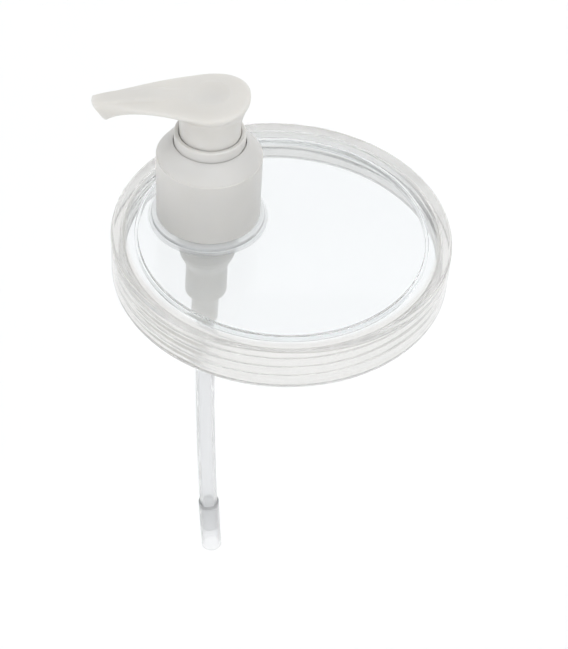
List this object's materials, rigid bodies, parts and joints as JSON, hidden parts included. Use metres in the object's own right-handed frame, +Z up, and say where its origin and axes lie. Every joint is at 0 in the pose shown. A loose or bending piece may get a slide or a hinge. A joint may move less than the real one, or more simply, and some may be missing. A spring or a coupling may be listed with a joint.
{
  "type": "jar lid with lotion pump",
  "caption": "Clear screw lid for a wide-mouth jar with a lotion pump set off its centre; the head locks down, turns and pumps, and a bent dip tube hangs below.",
  "frame": {"origin": "on the jar's axis, in the plane of the lid's underside where the jar's rim seats", "axes": "+Z up along the jar's axis, out of the top of the lid; the pump stands on the -X side and its spout points along -X, away from the lid's centre"},
  "size_m": [0.1159, 0.11, 0.2254],
  "materials": {
    "clear_lid": "clear, glossy, moulded",
    "pump_plastic": "natural translucent polypropylene, satin",
    "stem_plastic": "natural plastic, smooth",
    "piston_plastic": "soft white polyethylene",
    "gasket_foam": "white polyethylene foam",
    "spring_steel": "drawn stainless wire",
    "ball_glass": "polished glass",
    "tube_plastic": "clear polyethylene with a faint blue tint"
  },
  "bodies": {
    "lid": {"jar_lid": "clear_lid"},
    "pump_core": {"pump_housing": "pump_plastic", "lock_ring": "pump_plastic", "neck_gasket": "gasket_foam", "ball_cage": "stem_plastic", "dip_tube": "tube_plastic", "tube_sleeve": "tube_plastic"},
    "closure": {"closure": "pump_plastic"},
    "check_ball": {"check_ball": "ball_glass"},
    "spring": {"return_spring": "spring_steel"},
    "plunger": {"pump_head": "pump_plastic", "stem": "stem_plastic", "piston_seat": "stem_plastic"},
    "piston": {"piston": "piston_plastic"}
  },
  "joints": [
    {"name": "closure_turn", "type": "hinge", "parent": "pump_core", "child": "closure", "pos_m": [-0.0243, 0.0052, 0], "axis": [0, 0, 1], "range_deg": [0, 540]},
    {"name": "pump_lift", "type": "slide", "parent": "lid", "child": "pump_core", "axis": [0, 0, 1], "range_m": [0, 0.0063]},
    {"name": "ball_lift", "type": "slide", "parent": "pump_core", "child": "check_ball", "axis": [0, 0, 1], "range_m": [0, 0.0012]},
    {"name": "pump_stroke", "type": "slide", "parent": "pump_core", "child": "spring", "axis": [0, 0, 1], "range_m": [0, 0.016], "stiffness_N_per_m": 500, "springref_m": 0.02, "deforming": ["return_spring"]},
    {"name": "head_turn", "type": "hinge", "parent": "spring", "child": "plunger", "pos_m": [-0.0243, 0.0052, 0], "axis": [0, 0, 1], "continuous": true},
    {"name": "valve_lift", "type": "slide", "parent": "plunger", "child": "piston", "axis": [0, 0, 1], "range_m": [0, 0.001]}
  ],
  "couplings": [
    {"joint": "closure_turn", "follows": "pump_lift", "rad_per_m": 1484.3}
  ]
}
